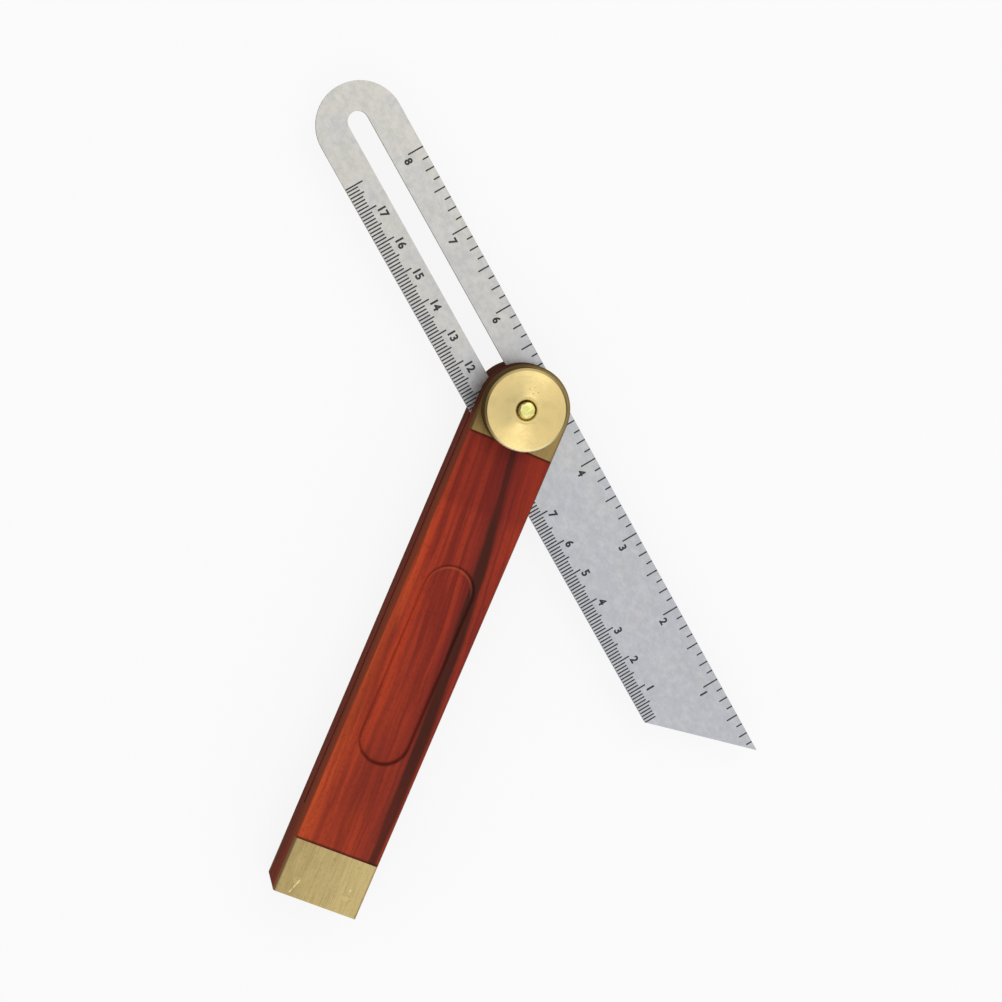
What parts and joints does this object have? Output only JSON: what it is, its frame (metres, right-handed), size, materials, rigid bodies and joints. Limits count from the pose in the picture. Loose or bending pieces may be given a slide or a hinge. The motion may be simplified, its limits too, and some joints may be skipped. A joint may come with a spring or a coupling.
{
  "type": "sliding t-bevel",
  "caption": "Sliding t-bevel: slotted steel blade that turns and slides in a kerfed wooden stock with brass plates, locked by a round brass knob.",
  "frame": {"origin": "on the stud's axis, level with the stock's rear face", "axes": "+Z from the rear face to the knob; the stock runs from the stud towards -Y; +X to the right seen from the knob's side"},
  "size_m": [0.1925, 0.2207, 0.0255],
  "materials": {
    "hardwood": "oiled red hardwood with dark streaks",
    "bolster_brass": "brushed, slightly tarnished",
    "butt_brass": "brushed along the stock",
    "knob_brass": "turned face, plain edge",
    "washer_brass": "plain",
    "stud_brass": "bright",
    "blade_steel": "satin, with dark filled graduations"
  },
  "bodies": {
    "stock": {"stock": "hardwood", "front_bolster": "bolster_brass", "rear_bolster": "bolster_brass", "front_butt_plate": "butt_brass", "rear_butt_plate": "butt_brass", "butt_pins": "butt_brass"},
    "lock_stud": {"lock_stud": "stud_brass"},
    "blade": {"blade": "blade_steel"},
    "washer": {"washer": "washer_brass"},
    "lock_knob": {"lock_knob": "knob_brass"}
  },
  "joints": [
    {"name": "blade_angle", "type": "hinge", "parent": "stock", "child": "lock_stud", "pos_m": [0, 0, 0], "axis": [0, 0, 1], "continuous": true},
    {"name": "blade_slide", "type": "slide", "parent": "lock_stud", "child": "blade", "axis": [0.7965, -0.6046, 0], "range_m": [-0.0056, 0.0888]},
    {"name": "knob_lift", "type": "slide", "parent": "lock_stud", "child": "washer", "axis": [0, 0, 1], "range_m": [0, 0.004]},
    {"name": "knob_turn", "type": "hinge", "parent": "washer", "child": "lock_knob", "pos_m": [0, 0, 0.0188], "axis": [0, 0, 1], "range_deg": [0, 1440]}
  ],
  "couplings": [
    {"joint": "knob_turn", "follows": "knob_lift", "rad_per_m": 6283.2}
  ]
}
